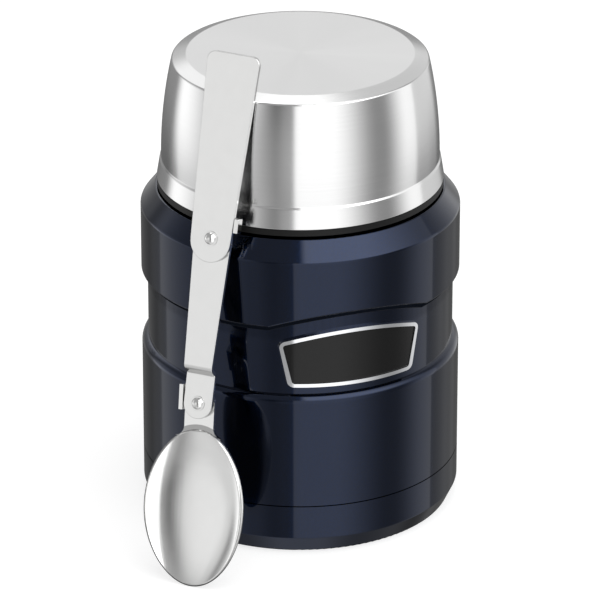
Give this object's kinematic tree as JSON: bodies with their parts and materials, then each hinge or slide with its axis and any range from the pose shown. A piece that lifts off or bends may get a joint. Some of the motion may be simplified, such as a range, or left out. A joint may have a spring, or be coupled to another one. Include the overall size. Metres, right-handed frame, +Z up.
{
  "type": "insulated food jar",
  "caption": "Double-walled steel food jar with an insulated stopper, a steel serving cup that screws over it and a folding steel spoon leaning at its side.",
  "frame": {"origin": "centre of the jar's underside, on the surface it stands on", "axes": "+Z up along the jar's axis, -Y towards the jar's front, +X to the right seen from the front"},
  "size_m": [0.095, 0.119, 0.1526],
  "materials": {
    "painted_steel": "gloss midnight blue",
    "brushed_steel": "brushed",
    "plain_steel": "satin",
    "spoon_steel": "polished",
    "badge_chrome": "bright",
    "badge_black": "satin",
    "black_plastic": "fine matt",
    "silicone": "matt translucent grey",
    "foam": "foamed",
    "seal_glass": "melted bead",
    "getter_metal": "sintered, matt"
  },
  "bodies": {
    "jar": {"body_shell": "painted_steel", "base_cap": "painted_steel", "vacuum_bottom": "plain_steel", "exhaust_seal": "seal_glass", "inner_liner": "plain_steel", "getter": "getter_metal", "badge_rim": "badge_chrome", "badge_plate": "badge_black"},
    "stopper": {"stopper_top": "black_plastic", "stopper_plug": "black_plastic", "stopper_insulation": "foam", "stopper_gasket": "silicone"},
    "cup": {"cup_shell": "brushed_steel", "cup_liner": "plain_steel", "cup_thread_ring": "black_plastic"},
    "spoon": {"spoon_link": "spoon_steel", "spoon_rivet_upper": "spoon_steel", "spoon_rivet_lower": "spoon_steel"},
    "spoon_blade": {"spoon_handle": "spoon_steel"},
    "spoon_scoop": {"spoon_bowl": "spoon_steel"}
  },
  "joints": [
    {"name": "stopper_lift", "type": "slide", "parent": "jar", "child": "stopper", "axis": [0, 0, 1], "range_m": [0, 0.04]},
    {"name": "cup_lift", "type": "slide", "parent": "stopper", "child": "cup", "axis": [0, 0, 1], "range_m": [0, 0.05]},
    {"name": "spoon_away", "type": "slide", "parent": "cup", "child": "spoon", "axis": [-0.3813, -0.877, 0.2924], "range_m": [0, 0.12]},
    {"name": "handle_fold", "type": "hinge", "parent": "spoon", "child": "spoon_blade", "pos_m": [-0.02539, -0.04362, 0.10043], "axis": [-0.3813, -0.877, 0.2924], "range_deg": [0, 180]},
    {"name": "bowl_fold", "type": "hinge", "parent": "spoon", "child": "spoon_scoop", "pos_m": [-0.03104, -0.05682, 0.05347], "axis": [-0.3813, -0.877, 0.2924], "range_deg": [0, 180]}
  ],
  "couplings": [
    {"joint": "bowl_fold", "follows": "spoon_away", "rad_per_m": 26.179}
  ]
}
